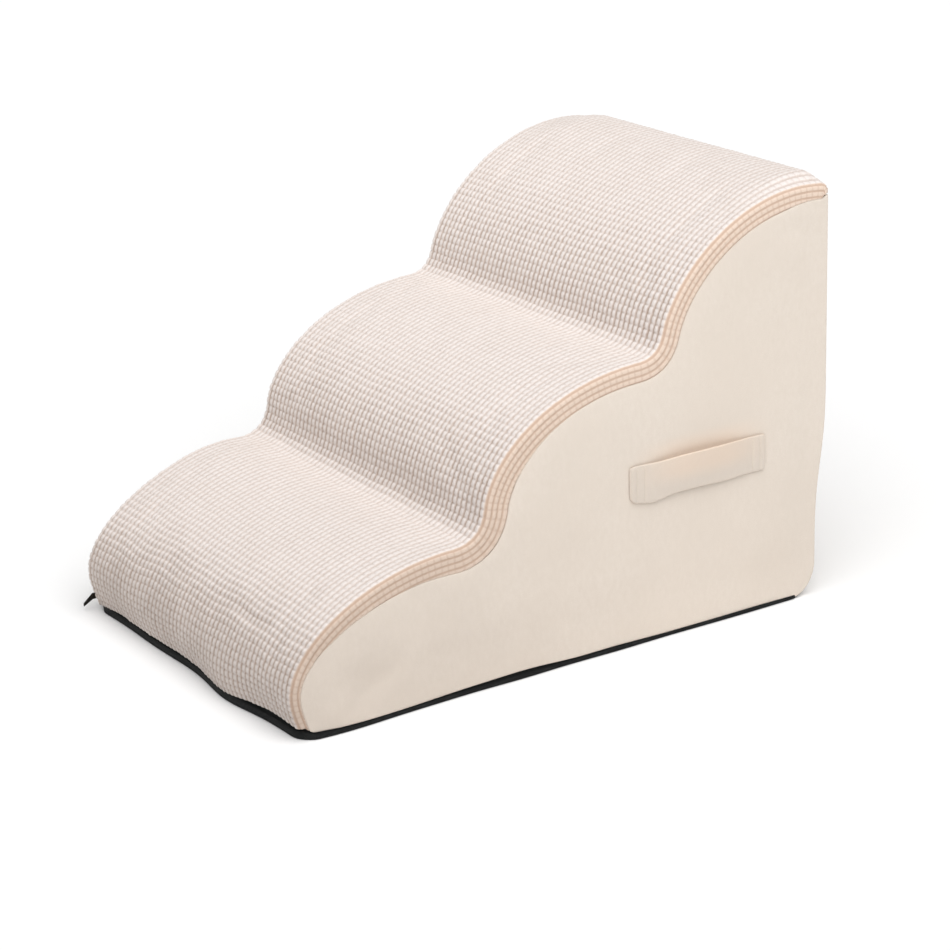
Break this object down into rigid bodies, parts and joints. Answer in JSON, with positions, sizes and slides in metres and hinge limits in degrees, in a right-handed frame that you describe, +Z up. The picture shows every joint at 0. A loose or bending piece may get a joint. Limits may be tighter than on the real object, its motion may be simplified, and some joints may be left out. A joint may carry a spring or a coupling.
{
  "type": "dog ramp",
  "caption": "Soft curved foam steps for pets in a sewn, zipped cover with a waffle tread, plain sides, anti-slip base and side carrying strap.",
  "frame": {"origin": "centre of the flat base, on the floor, midway between the front bottom line and the back face", "axes": "+Z up; the low front end faces -Y and the tall back +Y; the carrying strap is on the +X side and the zip on the -X side"},
  "size_m": [0.4197, 0.6144, 0.4156],
  "materials": {
    "waffle_plush": "matte",
    "plain_velvet": "matte",
    "foam": "matte",
    "antislip_fabric": "matte",
    "zip_tape": "matte",
    "zip_coil": "satin",
    "zip_metal": "satin"
  },
  "bodies": {
    "ramp": {"foam_core": "foam", "top_cover": "waffle_plush", "side_panel_right": "plain_velvet", "side_panel_left": "plain_velvet", "back_panel": "plain_velvet", "base_panel": "antislip_fabric", "handle_end_front": "plain_velvet", "handle_end_rear": "plain_velvet", "zip_tape_upper": "zip_tape", "zip_tape_lower": "zip_tape", "zip_coil_upper": "zip_coil", "zip_coil_lower": "zip_coil", "zip_top_stop_upper": "zip_metal", "zip_top_stop_lower": "zip_metal", "zip_bottom_stop": "zip_metal"},
    "handle": {"handle_span": "plain_velvet"},
    "slider": {"zip_slider": "zip_metal"},
    "pull": {"zip_pull": "zip_metal"}
  },
  "joints": [
    {"name": "handle_lift", "type": "hinge", "parent": "ramp", "child": "handle", "pos_m": [0.2018, 0.1405, 0.146], "axis": [0, 1, 0], "range_deg": [0, 35], "stiffness_Nm_per_rad": 0.05},
    {"name": "zip_run", "type": "slide", "parent": "ramp", "child": "slider", "axis": [0, 1, 0], "range_m": [0, 0.522]},
    {"name": "pull_swing", "type": "hinge", "parent": "slider", "child": "pull", "pos_m": [-0.20215, -0.2814, 0.014], "axis": [0, 0, -1], "range_deg": [0, 170]}
  ]
}
